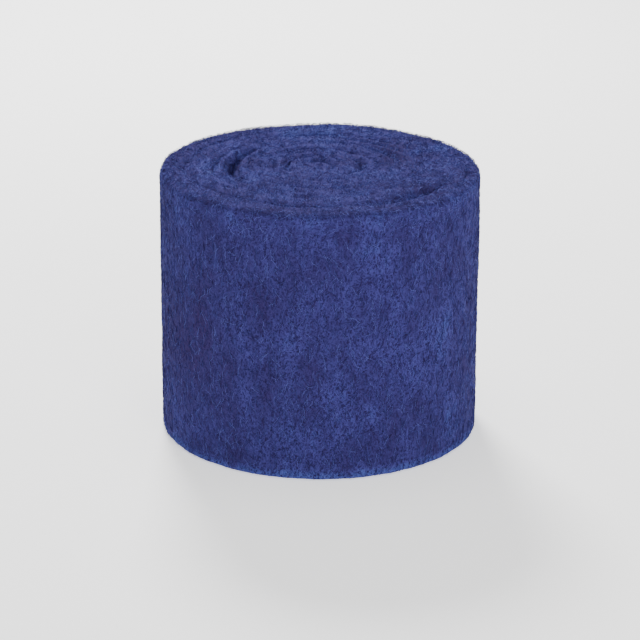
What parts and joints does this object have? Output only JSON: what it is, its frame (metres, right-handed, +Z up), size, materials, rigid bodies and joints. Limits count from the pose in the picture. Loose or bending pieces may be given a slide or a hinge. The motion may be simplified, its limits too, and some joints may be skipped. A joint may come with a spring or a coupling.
{
  "type": "roll of felt",
  "caption": "Standing roll of thick, soft blue wool felt: one cut strip wound on itself, its spiral end up and its loose end pressed to the back.",
  "frame": {"origin": "on the surface that the roll stands on, under the middle of the winding, which is the middle of the roll's outline", "axes": "+Z up along the winding's axis, out of the spiral end that shows; +X to the right and +Y away from the viewer in the picture; the strip's loose end lies at the back, at +Y"},
  "size_m": [0.177, 0.177, 0.1524],
  "materials": {
    "wool_felt": "matte, matted wool fibres"
  },
  "bodies": {
    "root": {"felt_roll": "wool_felt"}
  },
  "joints": []
}
